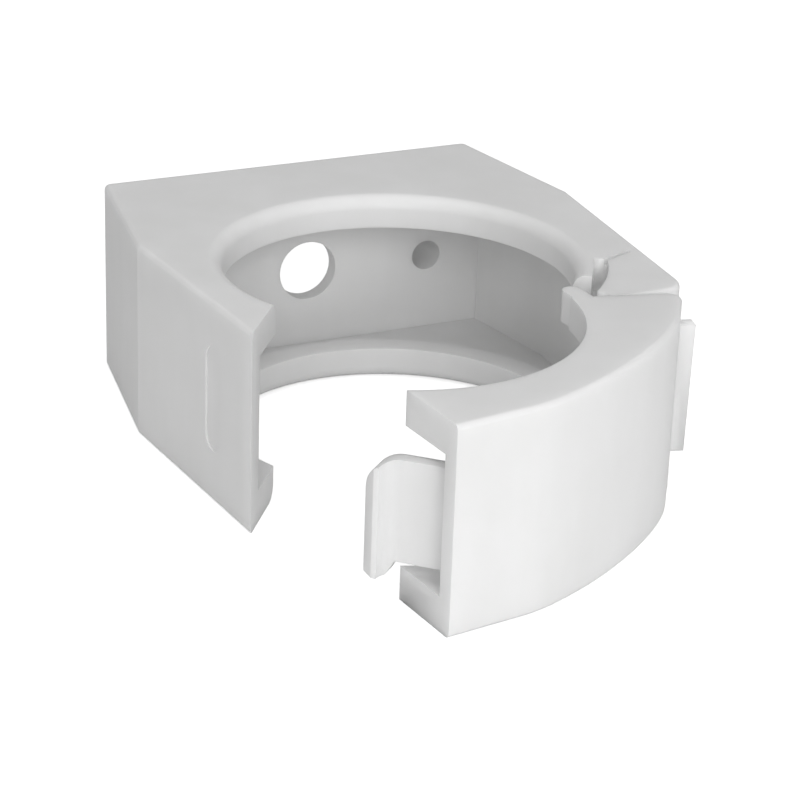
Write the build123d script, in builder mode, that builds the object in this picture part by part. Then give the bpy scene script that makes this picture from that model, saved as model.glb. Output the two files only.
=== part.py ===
"""Hinged pipe clip: a wall-fixed body and a snap-shut jaw, modelled open as photographed.

Origin: on the pipe axis at mid height. +Z runs up the pipe, +Y points at the wall. Millimetres.
The jaw is drawn closed, about the hinge axis, on a plane turned by the opening angle.
"""
from build123d import *
from math import atan2, cos, degrees, radians, sin
import os

os.makedirs("parts", exist_ok=True)

# Driving sizes
height = 13.0
bore_r = 11.0
wall_t = 1.2
plate_t = 1.2
flange_t = 2.15
rim_w = 1.85
bore_round = 0.9
edge_round = 0.35
corner_edge = 0.5

# Body outline, symmetric about its own middle line
outline_mid_x = 0.62
back_y = 19.2
back_half = 13.34
shoulder_y = 7.4
shoulder_half = 15.25
front_y = -11.0
front_half = 13.83
corner_round = 1.8
crease_round = 0.5

# Wall plate, its holes and the cored pocket behind it
web_front_y = 15.2
web_t = 1.15
screw_x = 0.45
screw_r = 2.05
pilot_x = 9.36
pilot_r = 1.05
pilot_boss_r = 2.1

# Slanted joint between the left arm and the jaw
split_angle = 53.13
split_bore_angle = 203.9
split_gap = 0.2

# Hinge
hinge_x = 9.7
hinge_y = -10.0
opening = 42.5
post_r = 0.7
pin_clearance = 0.08
socket_t = 1.05
socket_mouth = 100.0
web_w = 1.4
flange_clearance = 0.15
jaw_end_offset = 0.75
jaw_end_angle = -56.5
front_edge_offset = 0.6

# Spring finger and slot in the top flange
finger_w = 1.15
slot_w = 0.9
slot_start = -22.5
finger_end = -37.3
slot_end = -62.0
slit_end_x = 14.0
slit_end_y = -4.2
slit_w = 0.3
slit_depth = 0.4
arm_floor_y = 0.0
window_start = 2.2

# Jaw
jaw_wall_t = 1.15
jaw_round_r = 4.2
jaw_round_angle = -77.0
jaw_points = [(-9.0, -11.8), (-6.0, -13.2), (-3.0, -14.1), (0.0, -14.7), (4.0, -15.1), (7.2, -14.95)]
jaw_free_angle = -34.5
jaw_round_end = -30.0
jaw_corner = 0.9
nose_reach = 2.5
nose_t = 2.0
nose_r = 0.6
nose_angle = 113.0
nose_root_along = 1.85
nose_root_side = 1.55

# Tongue and hook, drawn closed
tongue_low = 3.1
tongue_high = 9.4
tongue_root_x = -10.2
tongue_root_y = -10.2
tongue_end_x = -10.65
tongue_end_y = -3.0
tongue_t = 0.9
tongue_round = 1.9
hook_low = 2.3
hook_tip_x = -12.45
hook_start_y = -5.05
hook_back_y = -4.05
hook_ramp_y = -3.75
hook_ramp_w = 0.2
leg_high_y = -4.75
leg_low_y = -4.3
hook_clearance = 0.15

# Catch for the hook inside the left arm: a ridge, and a recess in front of it
ridge_x = -12.0
ridge_back_y = -4.4
ridge_front_y = -5.15
recess_x = -13.13
recess_back_y = -5.45
recess_front_y = -7.05

# Opening stop lug
lug_angle = -57.0
lug_t = 1.0
lug_in = 3.6
lug_top = 5.25
lug_bottom = 5.1
lug_low = 2.3
lug_high = 10.75
stop_gap = 0.06

# Groove on the outside of the left arm
groove_low = 3.4
groove_high = 10.2
groove_y = -3.5
groove_w = 1.9
groove_depth = 0.1

# Lengths that carry a cut past an edge
reach = 40.0
short_reach = 1.0
split_in_reach = 2.0
split_out_reach = 14.0
hinge_back_reach = 4.5
jaw_free_reach = 12.0

# Derived places
finger_out_r = bore_r + finger_w
slot_out_r = finger_out_r + slot_w
mid_h = height - 2 * flange_t
core_h = height - 2 * plate_t
rim_r = bore_r + rim_w
back_slope = (shoulder_half - back_half) / (back_y - shoulder_y)
far_back_half = back_half - back_slope * reach
web_back_y = web_front_y + web_t
socket_in_r = post_r + pin_clearance
socket_out_r = socket_in_r + socket_t
split_x = bore_r * cos(radians(split_bore_angle))
split_y = bore_r * sin(radians(split_bore_angle))
jaw_low = flange_t + flange_clearance
jaw_mid_h = height - 2 * jaw_low
side_slope = (shoulder_half - front_half) / (shoulder_y - front_y)
far_front_half = front_half - side_slope * reach

near = 0.01
base_z = -height / 2
flat = Plane.XY.offset(base_z)
hinge_plane = Plane(origin=(hinge_x, hinge_y, base_z), x_dir=(1, 0, 0), z_dir=(0, 0, 1))
turn_x = cos(radians(opening))
turn_y = sin(radians(opening))
jaw_plane = Plane(origin=(hinge_x, hinge_y, base_z), x_dir=(turn_x, turn_y, 0), z_dir=(0, 0, 1))
outline = [
    (outline_mid_x - back_half, back_y),
    (outline_mid_x - shoulder_half, shoulder_y),
    (outline_mid_x - front_half, front_y),
    (outline_mid_x + front_half, front_y),
    (outline_mid_x + shoulder_half, shoulder_y),
    (outline_mid_x + back_half, back_y),
]


def from_hinge(distance, angle):
    """Point at a distance and angle from the hinge axis, in hinge or jaw coordinates."""
    return (distance * cos(radians(angle)), distance * sin(radians(angle)))


def closed(x, y):
    """Point of the closed jaw, given from the pipe axis, in jaw coordinates."""
    return (x - hinge_x, y - hinge_y)


def polar(distance, angle):
    """Point at a distance and angle from the pipe axis."""
    return (distance * cos(radians(angle)), distance * sin(radians(angle)))


def on_line(start, angle, along, side):
    """Point along a line from its start, then moved to the left of its direction."""
    a = radians(angle)
    return (start[0] + along * cos(a) - side * sin(a), start[1] + along * sin(a) + side * cos(a))


def left_of(start, angle, side):
    """Corners of a large block to the left of a line that runs past a start, moved by side."""
    ends = [(-reach, side), (reach, side), (reach, reach), (-reach, reach)]
    return [on_line(start, angle, along, aside) for along, aside in ends]


def inset(points, first_angle, last_angle, amount):
    """Points of a line moved to its left by an amount, with the angles at its two ends given."""
    moved = []
    for i, point in enumerate(points):
        angle = first_angle
        if i == len(points) - 1:
            angle = last_angle
        elif i > 0:
            before = points[i - 1]
            after = points[i + 1]
            angle = degrees(atan2(after[1] - before[1], after[0] - before[0]))
        moved.append(on_line(point, angle, 0, amount))
    return moved


def is_face_edge(edge):
    """Whether an edge lies in the top or bottom face."""
    low = edge.bounding_box().min.Z
    high = edge.bounding_box().max.Z
    return high - low < near and abs(abs(low) + base_z) < near


def is_bore_edge(edge):
    """Whether an edge is a rim of the bore in the top or bottom face."""
    return is_face_edge(edge) and edge.geom_type == GeomType.CIRCLE and abs(edge.radius - bore_r) < near


def is_jaw_edge(edge):
    """Whether an edge is an outer rim of the jaw in the top or bottom face."""
    return is_face_edge(edge) and edge.geom_type == GeomType.BSPLINE


# Corner points of the body's cuts
hinge = (hinge_x, hinge_y)
split = (split_x, split_y)
body_end_angle = jaw_end_angle + opening
split_in = on_line(split, split_angle, split_in_reach, split_gap / 2)
split_far = on_line(split, split_angle, -split_out_reach, split_gap / 2)
open_far = on_line(hinge, body_end_angle, reach, -front_edge_offset)
open_near = on_line(hinge, body_end_angle, 0, -front_edge_offset)
turn_mid = on_line(hinge, jaw_end_angle + opening / 2, 0, -front_edge_offset)
closed_near = on_line(hinge, jaw_end_angle, 0, -front_edge_offset)
hinge_top = on_line(hinge, jaw_end_angle, -hinge_back_reach, -front_edge_offset)
sides = [
    (outline_mid_x - far_back_half, back_y + reach),
    (outline_mid_x - shoulder_half, shoulder_y),
    (outline_mid_x - far_front_half, front_y - reach),
    (outline_mid_x + far_front_half, front_y - reach),
    (outline_mid_x + shoulder_half, shoulder_y),
    (outline_mid_x + far_back_half, back_y + reach),
]
slit_start = polar(slot_out_r, slot_start)
slit_end = (slit_end_x, slit_end_y)
slit_mid = ((slit_start[0] + slit_end[0]) / 2, (slit_start[1] + slit_end[1]) / 2)
lug_run = from_hinge(1, lug_angle + opening)
stop_plane = Plane(origin=(hinge_x, hinge_y, base_z), x_dir=(lug_run[0], lug_run[1], 0), z_dir=(0, 0, 1))
stop_offset = lug_t / 2 + stop_gap
groove_x = outline_mid_x - front_half - side_slope * (groove_y - front_y)
groove_run = (-(shoulder_half - front_half), shoulder_y - front_y, 0)
groove_face = (-(shoulder_y - front_y), -(shoulder_half - front_half), 0)
groove_mid = (groove_x, groove_y, base_z + (groove_low + groove_high) / 2)
groove_plane = Plane(origin=groove_mid, x_dir=groove_run, z_dir=groove_face)

# Corner points of the jaw, in jaw coordinates
round_mid = (jaw_round_angle + jaw_round_end) / 2
free_run = (cos(radians(jaw_free_angle)), sin(radians(jaw_free_angle)))
round_run = (cos(radians(jaw_round_angle + 90)), sin(radians(jaw_round_angle + 90)))
jaw_outer = [closed(x, y) for x, y in jaw_points] + [from_hinge(jaw_round_r, jaw_round_angle)]
jaw_start = on_line(jaw_outer[0], jaw_free_angle, -jaw_free_reach, 0)
channel_round_r = jaw_round_r - jaw_wall_t
channel_outer = inset(jaw_outer, jaw_free_angle, jaw_round_angle + 90, jaw_wall_t)
channel_start = on_line(channel_outer[0], jaw_free_angle, -jaw_free_reach, 0)
round_turn = from_hinge(jaw_round_r, round_mid)
round_stop = from_hinge(jaw_round_r, jaw_round_end)
channel_turn = from_hinge(channel_round_r, round_mid)
channel_stop = from_hinge(channel_round_r, jaw_round_end)
jaw_back = [closed(hinge_x + jaw_round_r, bore_r / 2), closed(0, bore_r / 2)]
jaw_split = closed(split_x, split_y)
free_cut = left_of(jaw_split, split_angle, -split_gap / 2)
hinge_cut = left_of((0, 0), jaw_end_angle, -jaw_end_offset)
corner_start = on_line((0, 0), jaw_end_angle, jaw_round_r - jaw_corner, -jaw_end_offset)
corner_off = left_of(corner_start, jaw_end_angle - 45, 0)
wall_cut = left_of((0, 0), lug_angle, 0)
nose_root = on_line((0, 0), jaw_end_angle, -nose_root_along, -nose_root_side)
nose_tip = from_hinge(nose_reach, nose_angle)
nose_mid = ((nose_root[0] + nose_tip[0]) / 2, (nose_root[1] + nose_tip[1]) / 2)
mouth_low = jaw_round_angle + 180 - socket_mouth / 2
mouth_high = jaw_round_angle + 180 + socket_mouth / 2
socket_reach = 2 * socket_out_r
web_run = jaw_round_r - jaw_wall_t / 2 - socket_in_r
mouth = [(0, 0), from_hinge(socket_reach, mouth_low), from_hinge(socket_reach, mouth_high)]
tongue_slope = (tongue_end_x - tongue_root_x) / (tongue_end_y - tongue_root_y)
hook_start_x = tongue_root_x + tongue_slope * (hook_start_y - tongue_root_y)
hook_round_r = hook_back_y - hook_start_y
hook_turn = 45.0
hook_start = closed(hook_start_x - tongue_t, hook_start_y)
hook_bend_x = hook_start[0] - hook_round_r * (1 - cos(radians(hook_turn)))
hook_bend = (hook_bend_x, hook_start[1] + hook_round_r * sin(radians(hook_turn)))
hook_back = closed(hook_tip_x, hook_back_y)
tongue = [
    closed(tongue_root_x, tongue_root_y),
    closed(tongue_end_x, tongue_end_y),
    closed(tongue_end_x - tongue_t, tongue_end_y),
    closed(tongue_root_x - tongue_t, tongue_root_y),
]
hook = [
    hook_back,
    closed(hook_tip_x, hook_ramp_y),
    closed(tongue_end_x - tongue_t - hook_ramp_w, tongue_end_y),
    closed(tongue_end_x, tongue_end_y),
    closed(hook_start_x, hook_start_y),
    hook_start,
]
arch = [
    (hook_start_y - short_reach - hinge_y, tongue_low),
    (leg_high_y - hinge_y, tongue_low),
    (leg_low_y - hinge_y, hook_low),
    (hook_start_y - short_reach - hinge_y, hook_low),
]
tongue_plane = Plane(origin=jaw_plane.origin, x_dir=jaw_plane.y_dir, z_dir=jaw_plane.x_dir)
lug = [(lug_in, lug_low), (lug_bottom, lug_low), (lug_top, lug_high), (lug_in, lug_high)]
lug_x_dir = (lug_run[0], lug_run[1], 0)
lug_side = (lug_run[1], -lug_run[0], 0)
lug_plane = Plane(origin=(hinge_x, hinge_y, base_z), x_dir=lug_x_dir, z_dir=lug_side)


# Body: one moulding, cut to its channel section and drilled
with BuildPart() as clip_body:
    with BuildSketch(flat) as body_plan:
        with BuildLine():
            Polyline(*outline, close=True)
        make_face()
        fillet(body_plan.vertices().group_by(Axis.Y)[0], corner_round)
        fillet(body_plan.vertices().group_by(Axis.Y)[-1], corner_edge)
        shoulders = body_plan.vertices().filter_by_position(Axis.Y, shoulder_y - near, shoulder_y + near)
        fillet(shoulders, crease_round)
    extrude(amount=height)
    fillet(clip_body.edges().filter_by(is_face_edge), edge_round)

    # Bore with rounded rims, and the mouth that the jaw closes
    with BuildSketch(flat) as mouth_plan:
        Circle(bore_r)
        with BuildLine():
            Polyline(hinge_top, split_in, split_far, (split_far[0], -reach), (reach, -reach), open_far)
            Line(open_far, open_near)
            ThreePointArc(open_near, turn_mid, closed_near)
            Line(closed_near, hinge_top)
        make_face()
    extrude(amount=height, mode=Mode.SUBTRACT)
    fillet(clip_body.edges().filter_by(is_bore_edge), bore_round)

    # Channel between the flanges, open to the bore and to the front
    with BuildSketch(flat.offset(flange_t)) as channel_plan:
        with BuildLine():
            Polyline(*sides, close=True)
        make_face()
        offset(amount=-wall_t)
        with Locations((0, web_front_y + reach)):
            Rectangle(4 * reach, 2 * reach, mode=Mode.SUBTRACT)
    extrude(amount=mid_h, mode=Mode.SUBTRACT)

    # Thinner floor and ceiling outside the rim
    with BuildSketch(flat.offset(plate_t)) as floor_plan:
        with BuildLine():
            Polyline(*sides, close=True)
        make_face()
        offset(amount=-wall_t)
        with Locations((0, web_front_y + reach), (0, arm_floor_y - reach)):
            Rectangle(4 * reach, 2 * reach, mode=Mode.SUBTRACT)
        Circle(rim_r, mode=Mode.SUBTRACT)
    extrude(amount=core_h, mode=Mode.SUBTRACT)

    # Cored pocket open to the wall, with the boss of the small hole left standing
    with BuildSketch(flat.offset(plate_t)) as pocket_plan:
        with BuildLine():
            Polyline(*sides, close=True)
        make_face()
        offset(amount=-wall_t)
        with Locations((0, web_back_y - reach)):
            Rectangle(4 * reach, 2 * reach, mode=Mode.SUBTRACT)
    extrude(amount=core_h, mode=Mode.SUBTRACT)
    with BuildSketch(Plane.XZ.offset(-back_y)) as boss_plan:
        with Locations((pilot_x, 0)):
            Circle(pilot_boss_r)
    extrude(amount=back_y - web_front_y - web_t / 2)
    with BuildSketch(Plane.XZ.offset(-back_y)) as hole_plan:
        with Locations((screw_x, 0)):
            Circle(screw_r)
        with Locations((pilot_x, 0)):
            Circle(pilot_r)
    extrude(amount=back_y - web_front_y, mode=Mode.SUBTRACT)

    # Window in the right arm, cut back to the stop face of the opened jaw
    with BuildSketch(stop_plane.offset(flange_t)) as window_plan:
        with Locations((window_start + reach / 2, stop_offset - reach / 2)):
            Rectangle(reach, reach)
    extrude(amount=mid_h, mode=Mode.SUBTRACT)

    # Slot that frees the spring finger, open to the mouth, through the top flange only
    with BuildSketch(flat.offset(height - flange_t)) as slot_plan:
        with BuildLine():
            Polyline((0, 0), polar(reach, slot_start), polar(reach, slot_end), close=True)
        make_face()
        Circle(slot_out_r, mode=Mode.INTERSECT)
        Circle(finger_out_r, mode=Mode.SUBTRACT)
    extrude(amount=flange_t, mode=Mode.SUBTRACT)
    with BuildSketch(flat.offset(height - flange_t)) as tip_plan:
        with BuildLine():
            Polyline((0, 0), polar(reach, finger_end), polar(reach, slot_end), close=True)
        make_face()
        Circle(slot_out_r, mode=Mode.INTERSECT)
    extrude(amount=flange_t, mode=Mode.SUBTRACT)

    # Thin slit in the top face, from the slot's root towards the right side
    with BuildSketch(flat.offset(height)) as slit_plan:
        SlotCenterPoint(slit_mid, slit_end, slit_w)
    extrude(amount=-slit_depth, mode=Mode.SUBTRACT)

    # Hinge post between the flanges
    with BuildSketch(hinge_plane.offset(flange_t)) as post_plan:
        Circle(post_r)
    extrude(amount=mid_h)

    # Ridge that holds the closed hook, the recess in front of it, and the groove outside the arm
    with BuildSketch(flat.offset(flange_t)) as ridge_plan:
        with Locations((ridge_x, ridge_back_y)):
            Rectangle(wall_t, ridge_back_y - ridge_front_y, align=(Align.MAX, Align.MAX))
    extrude(amount=mid_h)
    with BuildSketch(flat.offset(hook_low - hook_clearance)) as recess_plan:
        with Locations((recess_x, recess_back_y)):
            Rectangle(wall_t, recess_back_y - recess_front_y, align=(Align.MIN, Align.MAX))
    extrude(amount=tongue_high - hook_low + 2 * hook_clearance, mode=Mode.SUBTRACT)
    with BuildSketch(groove_plane) as groove_plan:
        SlotOverall(groove_high - groove_low, groove_w, rotation=90)
    extrude(amount=-groove_depth, mode=Mode.SUBTRACT)
clip_body.part.label = "clip_body"

# Jaw: drawn closed in jaw coordinates, so the rest pose is the opened one
with BuildPart() as hinged_jaw:
    with BuildSketch(jaw_plane) as jaw_plan:
        with BuildLine():
            Line(jaw_start, jaw_outer[0])
            Spline(*jaw_outer, tangents=[free_run, round_run])
            ThreePointArc(jaw_outer[-1], round_turn, round_stop)
            Polyline(round_stop, *jaw_back, jaw_start)
        make_face()
        with Locations(closed(0, 0)):
            Circle(bore_r, mode=Mode.SUBTRACT)
        with BuildLine():
            Polyline(*free_cut, close=True)
        make_face(mode=Mode.SUBTRACT)
        with BuildLine():
            Polyline(*wall_cut, close=True)
        make_face(mode=Mode.SUBTRACT)
    extrude(amount=height)
    fillet(hinged_jaw.edges().filter_by(is_jaw_edge), edge_round)
    with BuildSketch(jaw_plane, jaw_plane.offset(height - jaw_low)) as flange_ends:
        with BuildLine():
            Polyline(*hinge_cut, close=True)
        make_face()
        with BuildLine():
            Polyline(*corner_off, close=True)
        make_face()
    extrude(amount=jaw_low, mode=Mode.SUBTRACT)
    with BuildSketch(jaw_plane.offset(flange_t)) as jaw_channel:
        with BuildLine():
            Line(channel_start, channel_outer[0])
            Spline(*channel_outer, tangents=[free_run, round_run])
            ThreePointArc(channel_outer[-1], channel_turn, channel_stop)
            Polyline(channel_stop, *jaw_back, channel_start)
        make_face()
    extrude(amount=mid_h, mode=Mode.SUBTRACT)

    # Socket that snaps round the post, on a web from the wall, between the body's flanges
    with BuildSketch(jaw_plane.offset(jaw_low)) as knuckle_plan:
        with Locations(Location((0, 0, 0), (0, 0, jaw_round_angle))):
            with Locations((socket_in_r, 0)):
                Rectangle(web_run, web_w, align=(Align.MIN, Align.CENTER))
        Circle(socket_out_r)
        Circle(socket_in_r, mode=Mode.SUBTRACT)
        with BuildLine():
            Polyline(*mouth, close=True)
        make_face(mode=Mode.SUBTRACT)
    extrude(amount=jaw_mid_h)

    # Opening stop lug, deeper at the top
    with BuildSketch(lug_plane.offset(-lug_t / 2)) as lug_plan:
        with BuildLine():
            Polyline(*lug, close=True)
        make_face()
    extrude(amount=lug_t)

    # Nose on the top flange
    with BuildSketch(jaw_plane.offset(height - nose_t)) as nose_plan:
        SlotCenterPoint(nose_mid, nose_tip, 2 * nose_r)
    extrude(amount=nose_t)

    # Tongue, with the hook that stands out from its end and hangs below it
    with BuildSketch(jaw_plane.offset(tongue_low)) as tongue_plan:
        with BuildLine():
            Polyline(*tongue, close=True)
        make_face()
    extrude(amount=tongue_high - tongue_low)
    with BuildSketch(jaw_plane.offset(hook_low)) as hook_plan:
        with BuildLine():
            ThreePointArc(hook_start, hook_bend, hook_back)
            Polyline(*hook)
        make_face()
    extrude(amount=tongue_high - hook_low)
    with BuildSketch(tongue_plane.offset(hook_tip_x - hinge_x - short_reach)) as tongue_corner:
        with Locations((tongue_end_y - hinge_y, tongue_high)):
            Rectangle(tongue_round, tongue_round, align=(Align.MAX, Align.MAX))
        with Locations((tongue_end_y - hinge_y - tongue_round, tongue_high - tongue_round)):
            Circle(tongue_round, mode=Mode.SUBTRACT)
        with BuildLine():
            Polyline(*arch, close=True)
        make_face()
    extrude(amount=tongue_end_x - hook_tip_x + 2 * short_reach, mode=Mode.SUBTRACT)
hinged_jaw.part.label = "hinged_jaw"

export_step(clip_body.part, "parts/clip_body.step")
export_step(hinged_jaw.part, "parts/hinged_jaw.step")
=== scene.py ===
import logging
import math
from dataclasses import dataclass, field
from enum import Enum

import bmesh
import bpy
import numpy as np
from mathutils import Matrix, Vector


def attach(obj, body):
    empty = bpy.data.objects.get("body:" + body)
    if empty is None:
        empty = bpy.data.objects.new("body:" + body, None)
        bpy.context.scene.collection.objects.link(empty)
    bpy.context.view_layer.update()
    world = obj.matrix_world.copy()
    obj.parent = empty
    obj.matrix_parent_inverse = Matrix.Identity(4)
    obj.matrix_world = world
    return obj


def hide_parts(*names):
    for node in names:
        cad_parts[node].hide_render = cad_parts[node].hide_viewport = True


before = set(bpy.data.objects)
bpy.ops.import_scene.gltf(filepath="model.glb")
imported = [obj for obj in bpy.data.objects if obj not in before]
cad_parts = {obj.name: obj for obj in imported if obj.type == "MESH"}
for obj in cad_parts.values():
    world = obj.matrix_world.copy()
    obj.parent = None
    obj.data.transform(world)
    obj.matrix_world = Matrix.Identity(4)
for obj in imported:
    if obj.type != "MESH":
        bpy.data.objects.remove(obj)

logging.basicConfig(level=logging.INFO, format="%(message)s")
log = logging.getLogger("pipe_clip")

MM = 0.001


# Shader expressions


class Operation(Enum):
    """Operation of a Math node."""

    ADD = "ADD"
    SUBTRACT = "SUBTRACT"
    MULTIPLY = "MULTIPLY"
    MINIMUM = "MINIMUM"
    MAXIMUM = "MAXIMUM"


class Flow:
    """A socket of a shader tree that can be used in Python expressions."""

    def __init__(self, tree: bpy.types.NodeTree, socket: bpy.types.NodeSocket) -> None:
        """Wraps a socket of a tree."""
        self.tree = tree
        self.socket = socket

    def _math(self, operation: Operation, *values: "Flow | float") -> "Flow":
        """Adds a Math node.

        Args:
            operation: the node's operation.
            values: its inputs in order, as sockets or numbers.

        Returns:
            The node's value.
        """
        node = self.tree.nodes.new("ShaderNodeMath")
        node.operation = operation.value
        for slot, value in zip(node.inputs, values):
            if isinstance(value, Flow):
                self.tree.links.new(value.socket, slot)
            else:
                slot.default_value = value
        return Flow(self.tree, node.outputs[0])

    def __add__(self, other: "Flow | float") -> "Flow":
        """Sum."""
        return self._math(Operation.ADD, self, other)

    def __radd__(self, other: float) -> "Flow":
        """Sum with a number on the left."""
        return self._math(Operation.ADD, other, self)

    def __sub__(self, other: "Flow | float") -> "Flow":
        """Difference."""
        return self._math(Operation.SUBTRACT, self, other)

    def __rsub__(self, other: float) -> "Flow":
        """Difference with a number on the left."""
        return self._math(Operation.SUBTRACT, other, self)

    def __mul__(self, other: "Flow | float") -> "Flow":
        """Product."""
        return self._math(Operation.MULTIPLY, self, other)

    def __rmul__(self, other: float) -> "Flow":
        """Product with a number on the left."""
        return self._math(Operation.MULTIPLY, other, self)

    def between(self, low: float, high: float) -> "Flow":
        """Smooth step of the value from 0 at low to 1 at high.

        Args:
            low: value that gives 0.
            high: value that gives 1.

        Returns:
            The step.
        """
        t = self._math(Operation.MULTIPLY, self - low, 1.0 / (high - low))
        t = t._math(Operation.MINIMUM, t._math(Operation.MAXIMUM, t, 0.0), 1.0)
        return t * t * (3.0 - 2.0 * t)


class Tree:
    """Builder of one material's nodes."""

    colour_inputs: tuple[int, int, int] = (0, 6, 7)
    colour_output: int = 2

    def __init__(self, name: str) -> None:
        """Makes a material with an empty tree.

        Args:
            name: the material's name.
        """
        self.material = bpy.data.materials.new(name)
        self.material.use_nodes = True
        self.tree = self.material.node_tree
        self.tree.nodes.clear()

    def node(
        self, kind: str, settings: dict[str, str] | None = None, **sockets: "Flow | float | tuple"
    ) -> bpy.types.Node:
        """Adds a node.

        Args:
            kind: the node's type.
            settings: attributes that are set first.
            sockets: values or links of its inputs, by name with _ for a space.

        Returns:
            The node.
        """
        made = self.tree.nodes.new(kind)
        for key, value in (settings or {}).items():
            setattr(made, key, value)
        for key, value in sockets.items():
            slot = made.inputs[key.replace("_", " ")]
            if isinstance(value, Flow):
                self.tree.links.new(value.socket, slot)
            else:
                slot.default_value = value
        return made

    def flow(self, node: bpy.types.Node, output: str) -> Flow:
        """Named output of a node, for expressions."""
        return Flow(self.tree, node.outputs[output])

    def noise(self, where: Flow, scale: float, detail: float, roughness: float = 0.5) -> Flow:
        """Adds a noise of about 0 to 1.

        Args:
            where: the coordinates it is read at.
            scale: cells per metre.
            detail: octaves of finer noise on top.
            roughness: strength of each octave as a share of the one before.

        Returns:
            The noise's value.
        """
        made = self.node(
            "ShaderNodeTexNoise", None, Vector=where, Scale=scale, Detail=detail, Roughness=roughness
        )
        return self.flow(made, "Fac")

    def mix(
        self, share: Flow, low: tuple[float, float, float], high: tuple[float, float, float]
    ) -> bpy.types.NodeSocket:
        """Mixes two colours.

        Args:
            share: 0 for the low colour, 1 for the high one.
            low: the low colour.
            high: the high colour.

        Returns:
            The mixed colour's socket.
        """
        made = self.node("ShaderNodeMix", {"data_type": "RGBA"})
        factor, first, second = (made.inputs[place] for place in self.colour_inputs)
        self.tree.links.new(share.socket, factor)
        first.default_value = (*low, 1.0)
        second.default_value = (*high, 1.0)
        return made.outputs[self.colour_output]

    def show(self, shader: bpy.types.Node) -> bpy.types.Material:
        """Joins a shader to the material's output.

        Args:
            shader: the node that is shown.

        Returns:
            The finished material.
        """
        out = self.node("ShaderNodeOutputMaterial")
        self.tree.links.new(shader.outputs[0], out.inputs["Surface"])
        return self.material


# Finishes


@dataclass(frozen=True)
class WhitePlastic:
    """Satin white moulded plastic, slightly clouded and milky, with a fine mould texture."""

    name: str
    pale: tuple[float, float, float] = (0.80, 0.80, 0.80)
    dull: tuple[float, float, float] = (0.765, 0.765, 0.762)
    cloud_scale: float = 140.0
    cloud_detail: float = 3.0
    cloud_steps: tuple[float, float] = (0.3, 0.7)
    cloud_share: float = 0.6
    streak_scale: float = 420.0
    streak_detail: float = 2.0
    streak_stretch: tuple[float, float, float] = (1.0, 1.0, 0.25)
    streak_steps: tuple[float, float] = (0.35, 0.75)
    streak_share: float = 0.4
    streak_height: float = 0.03 * MM
    grain_scale: float = 5200.0
    grain_detail: float = 2.0
    grain_roughness: float = 0.6
    grain_height: float = 0.006 * MM
    roughness: float = 0.42
    roughness_of_cloud: float = 0.05
    roughness_of_grain: float = 0.04
    ior: float = 1.49
    milky: float = 0.6
    milky_depth: float = 1.5 * MM

    def material(self) -> bpy.types.Material:
        """Builds the finish.

        Returns:
            The material.
        """
        t = Tree(self.name)
        where = t.flow(t.node("ShaderNodeTexCoord"), "Object")
        stretched = t.node("ShaderNodeMapping", None, Vector=where, Scale=self.streak_stretch)
        cloud = t.noise(where, self.cloud_scale, self.cloud_detail)
        streak = t.noise(t.flow(stretched, "Vector"), self.streak_scale, self.streak_detail)
        grain = t.noise(where, self.grain_scale, self.grain_detail, self.grain_roughness)
        clouded = cloud.between(*self.cloud_steps) * self.cloud_share
        tone = clouded + streak.between(*self.streak_steps) * self.streak_share
        rough = self.roughness + self.roughness_of_cloud * cloud + self.roughness_of_grain * grain
        relief = grain * self.grain_height + streak * self.streak_height
        bump = t.node("ShaderNodeBump", None, Strength=1.0, Distance=1.0, Height=relief)
        shader = t.node("ShaderNodeBsdfPrincipled", None, Roughness=rough, IOR=self.ior)
        t.tree.links.new(t.mix(tone, self.dull, self.pale), shader.inputs["Base Color"])
        t.tree.links.new(bump.outputs[0], shader.inputs["Normal"])
        shader.inputs["Subsurface Weight"].default_value = self.milky
        shader.inputs["Subsurface Radius"].default_value = (1.0, 1.0, 1.0)
        shader.inputs["Subsurface Scale"].default_value = self.milky_depth
        return t.show(shader)


# Mouldings


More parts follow.
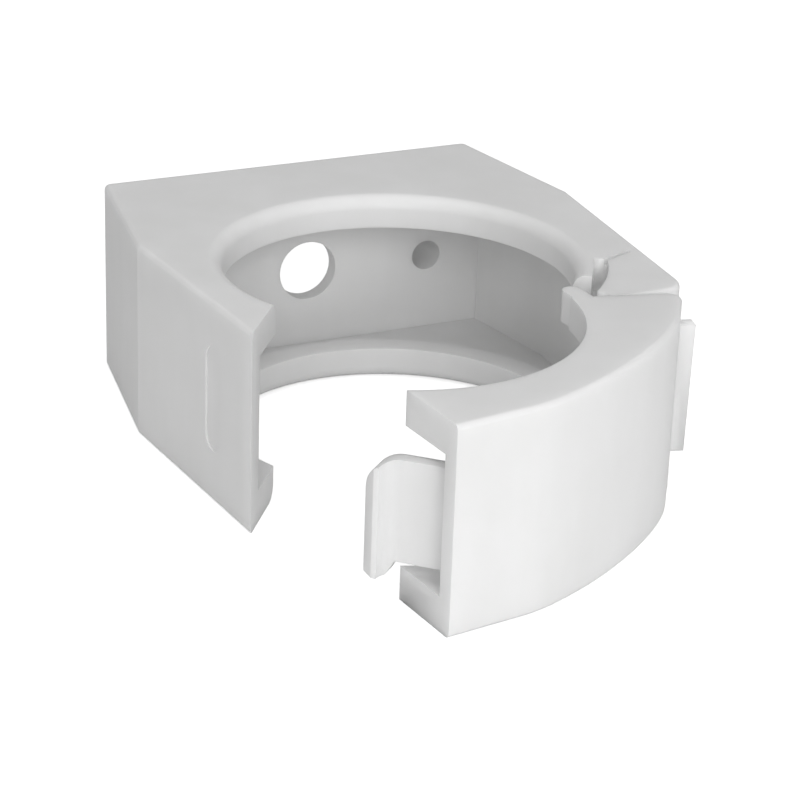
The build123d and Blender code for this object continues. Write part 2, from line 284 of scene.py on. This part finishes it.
@dataclass
class Moulding:
    """One moulded piece: the CAD solid with the rounded edges and finish of the real one."""

    node: str
    body: str
    finish: WhitePlastic
    edge_radius: float = 0.14 * MM
    edge_steps: int = 3
    edge_room: float = 0.36 * MM
    crease: float = math.radians(34.0)
    doubles: float = 0.002 * MM
    flat_within: float = math.radians(0.4)
    few_corners: int = 12
    face_share: int = 100
    split_from: int = 5

    def merged(self) -> bpy.types.Object:
        """Copies the CAD mesh with its doubles merged and its flat faces joined.

        A face with few corners, one of them inward, is split there, so that its notch stays open.

        Returns:
            The copy, at the origin.
        """
        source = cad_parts[self.node]
        mesh = bpy.data.meshes.new(f"{self.node}_moulded")
        work = bmesh.new()
        work.from_mesh(source.data)
        bmesh.ops.remove_doubles(work, verts=work.verts, dist=self.doubles)
        bmesh.ops.dissolve_degenerate(work, edges=work.edges, dist=self.doubles)
        bmesh.ops.dissolve_limit(work, angle_limit=self.flat_within, verts=work.verts, edges=work.edges)
        simple = [face for face in work.faces if len(face.verts) < self.few_corners]
        bmesh.ops.connect_verts_concave(work, faces=simple)
        for face in work.faces:
            face.smooth = True
        self.weigh_edges(work)
        work.to_mesh(mesh)
        work.free()
        piece = bpy.data.objects.new(mesh.name, mesh)
        bpy.context.scene.collection.objects.link(piece)
        return piece

    def weigh_edges(self, work: bmesh.types.BMesh) -> None:
        """Marks the sharp edges for rounding where the faces beside them leave room, else as sharp.

        Args:
            work: the mesh to mark.
        """
        weight = work.edges.layers.float.new("bevel_weight_edge")
        for edge in work.edges:
            if len(edge.link_faces) != 2 or edge.calc_face_angle(0.0) < self.crease:
                continue
            width = min(face.calc_area() for face in edge.link_faces) / edge.calc_length()
            beside = [other.calc_length() for end in edge.verts for other in end.link_edges]
            if min([width, *beside]) > self.edge_room:
                edge[weight] = 1.0
            else:
                edge.smooth = False

    def round_edges(self, piece: bpy.types.Object) -> None:
        """Rounds the marked edges of a piece as the mould does, and keeps its flat faces flat.

        Args:
            piece: the object to finish.
        """
        bevel = piece.modifiers.new("rounded edges", "BEVEL")
        bevel.width = self.edge_radius
        bevel.segments = self.edge_steps
        bevel.limit_method = "WEIGHT"
        bevel.miter_outer = "MITER_ARC"
        bevel.use_clamp_overlap = True
        shading = piece.modifiers.new("flat faces stay flat", "WEIGHTED_NORMAL")
        shading.mode = "FACE_AREA"
        shading.weight = self.face_share
        shading.keep_sharp = True
        split = piece.modifiers.new("faces with many corners split", "TRIANGULATE")
        split.min_vertices = self.split_from
        split.keep_custom_normals = True

    def build(self) -> bpy.types.Object:
        """Makes the piece, dresses it and puts it on its body.

        Returns:
            The finished object.
        """
        piece = self.merged()
        self.round_edges(piece)
        piece.data.materials.append(self.finish.material())
        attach(piece, self.body)
        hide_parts(self.node)
        log.info("%s: %d faces", piece.name, len(piece.data.polygons))
        return piece


@dataclass
class ClipBody(Moulding):
    """The part fixed to the wall."""

    node: str = "clip_body"
    body: str = "body"
    finish: WhitePlastic = field(default_factory=lambda: WhitePlastic("body plastic"))


@dataclass
class HingedJaw(Moulding):
    """The part that swings over the pipe."""

    node: str = "hinged_jaw"
    body: str = "jaw"
    finish: WhitePlastic = field(default_factory=lambda: WhitePlastic("jaw plastic"))


# Studio


@dataclass
class Lamp:
    """A rectangular soft light that looks at the clip."""

    name: str
    place: tuple[float, float, float]
    size: float
    power: float

    def build(self) -> bpy.types.Object:
        """Adds the light.

        Returns:
            The light's object.
        """
        data = bpy.data.lights.new(self.name, "AREA")
        data.shape = "SQUARE"
        data.size = self.size
        data.energy = self.power
        lamp = bpy.data.objects.new(self.name, data)
        lamp.location = self.place
        lamp.rotation_mode = "QUATERNION"
        lamp.rotation_quaternion = (-Vector(self.place)).to_track_quat("-Z", "Y")
        bpy.context.scene.collection.objects.link(lamp)
        return lamp


@dataclass
class Floor:
    """The pale floor that the clip stands on, lit towards white for the camera alone."""

    height: float = -6.5 * MM
    radii: tuple[float, ...] = (0.3, 1.2, 4.0)
    sectors: int = 64
    paint: float = 0.9
    glow: float = 0.55

    def mesh(self) -> bpy.types.Mesh:
        """Works out a flat disc.

        Its points are the radius times the cosine and the sine of the angle, at a constant height, on a
        grid of radii and angles. The inner ring is closed by a fan round the middle.

        Returns:
            The mesh.
        """
        count = self.sectors
        angles = np.linspace(0.0, 2.0 * np.pi, count, endpoint=False)
        rr, aa = np.meshgrid(np.array(self.radii), angles, indexing="ij")
        rings = np.stack([rr * np.cos(aa), rr * np.sin(aa), np.full_like(rr, self.height)], -1)
        points = np.vstack([rings.reshape(-1, 3), [[0.0, 0.0, self.height]]])
        ring = np.arange(count)
        after = (ring + 1) % count
        inner = (np.arange(len(self.radii) - 1) * count)[:, None]
        outer = inner + count
        quads = np.stack([ring + inner, ring + outer, after + outer, after + inner], -1)
        middle = np.full(count, len(points) - 1)
        faces = quads.reshape(-1, 4).tolist() + np.stack([middle, ring, after], -1).tolist()
        mesh = bpy.data.meshes.new("floor")
        mesh.from_pydata(points.tolist(), [], faces)
        mesh.update()
        return mesh

    def material(self) -> bpy.types.Material:
        """Builds the floor's paint, with a glow that only the camera sees.

        Returns:
            The material.
        """
        t = Tree("floor")
        seen = t.flow(t.node("ShaderNodeLightPath"), "Is Camera Ray")
        paint = t.node("ShaderNodeBsdfDiffuse", None, Color=(self.paint, self.paint, self.paint, 1.0))
        glow = t.node("ShaderNodeEmission", None, Color=(1.0, 1.0, 1.0, 1.0), Strength=seen * self.glow)
        both = t.node("ShaderNodeAddShader")
        t.tree.links.new(paint.outputs[0], both.inputs[0])
        t.tree.links.new(glow.outputs[0], both.inputs[1])
        return t.show(both)

    def build(self) -> bpy.types.Object:
        """Lays the floor.

        Returns:
            The floor's object.
        """
        mesh = self.mesh()
        mesh.materials.append(self.material())
        floor = bpy.data.objects.new("floor", mesh)
        bpy.context.scene.collection.objects.link(floor)
        return floor


@dataclass
class Camera:
    """The photograph's camera, with lengths in units of a twentieth of the clip's height."""

    azimuth: float = -25.77
    elevation: float = 23.56
    roll: float = 2.04
    shift_right: float = 12.33
    shift_up: float = -6.74
    distance: float = 288.95
    clip_height: float = 13.0 * MM
    fit_height: float = 20.0
    bore_from_fit: tuple[float, float] = (-0.96, -29.54)
    lens: float = 120.19
    sensor: float = 36.0
    nearest: float = 0.01
    farthest: float = 20.0

    def build(self) -> bpy.types.Object:
        """Places the camera.

        Returns:
            The camera's object.
        """
        scale = self.clip_height / self.fit_height
        a, e, r = (math.radians(v) for v in (self.azimuth, self.elevation, self.roll))
        back = Vector((math.sin(a) * math.cos(e), -math.cos(a) * math.cos(e), math.sin(e)))
        level_right = Vector((math.cos(a), math.sin(a), 0.0))
        level_up = back.cross(level_right)
        right = math.cos(r) * level_right + math.sin(r) * level_up
        up = math.cos(r) * level_up - math.sin(r) * level_right
        eye = right * self.shift_right + up * self.shift_up + back * self.distance
        eye -= Vector((*self.bore_from_fit, self.fit_height / 2))
        data = bpy.data.cameras.new("camera")
        data.lens = self.lens
        data.sensor_width = self.sensor
        data.clip_start = self.nearest
        data.clip_end = self.farthest
        camera = bpy.data.objects.new("camera", data)
        turn = Matrix((right, up, back)).transposed().to_4x4()
        camera.matrix_world = Matrix.Translation(eye * scale) @ turn
        bpy.context.scene.collection.objects.link(camera)
        bpy.context.scene.camera = camera
        return camera


@dataclass
class Studio:
    """Camera, lights, sky and floor of the photograph."""

    camera: Camera = field(default_factory=Camera)
    floor: Floor = field(default_factory=Floor)
    sky: float = 0.22
    lamps: list[Lamp] = field(default_factory=lambda: [
        Lamp("camera box", (-0.12, -0.26, 0.125), 0.18, 0.37),
        Lamp("front box", (0.05, -0.29, 0.10), 0.25, 0.32),
        Lamp("top box", (-0.02, 0.0, 0.35), 0.35, 0.54),
    ])

    def world(self) -> None:
        """Lights the scene from all round and shows white to the camera."""
        world = bpy.data.worlds.new("studio")
        bpy.context.scene.world = world
        world.use_nodes = True
        tree = world.node_tree
        tree.nodes.clear()
        rays = tree.nodes.new("ShaderNodeLightPath")
        seen = Flow(tree, rays.outputs["Is Camera Ray"])
        strength = self.sky + seen * (1.0 - self.sky)
        sky = tree.nodes.new("ShaderNodeBackground")
        sky.inputs["Color"].default_value = (1.0, 1.0, 1.0, 1.0)
        tree.links.new(strength.socket, sky.inputs["Strength"])
        out = tree.nodes.new("ShaderNodeOutputWorld")
        tree.links.new(sky.outputs[0], out.inputs["Surface"])

    def build(self) -> None:
        """Sets the whole studio up."""
        bpy.context.scene.view_settings.view_transform = "Standard"
        self.camera.build()
        self.world()
        self.floor.build()
        for lamp in self.lamps:
            lamp.build()


def main() -> None:
    """Builds the studio and the two mouldings."""
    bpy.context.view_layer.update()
    Studio().build()
    ClipBody().build()
    HingedJaw().build()


if __name__ == "__main__":
    main()
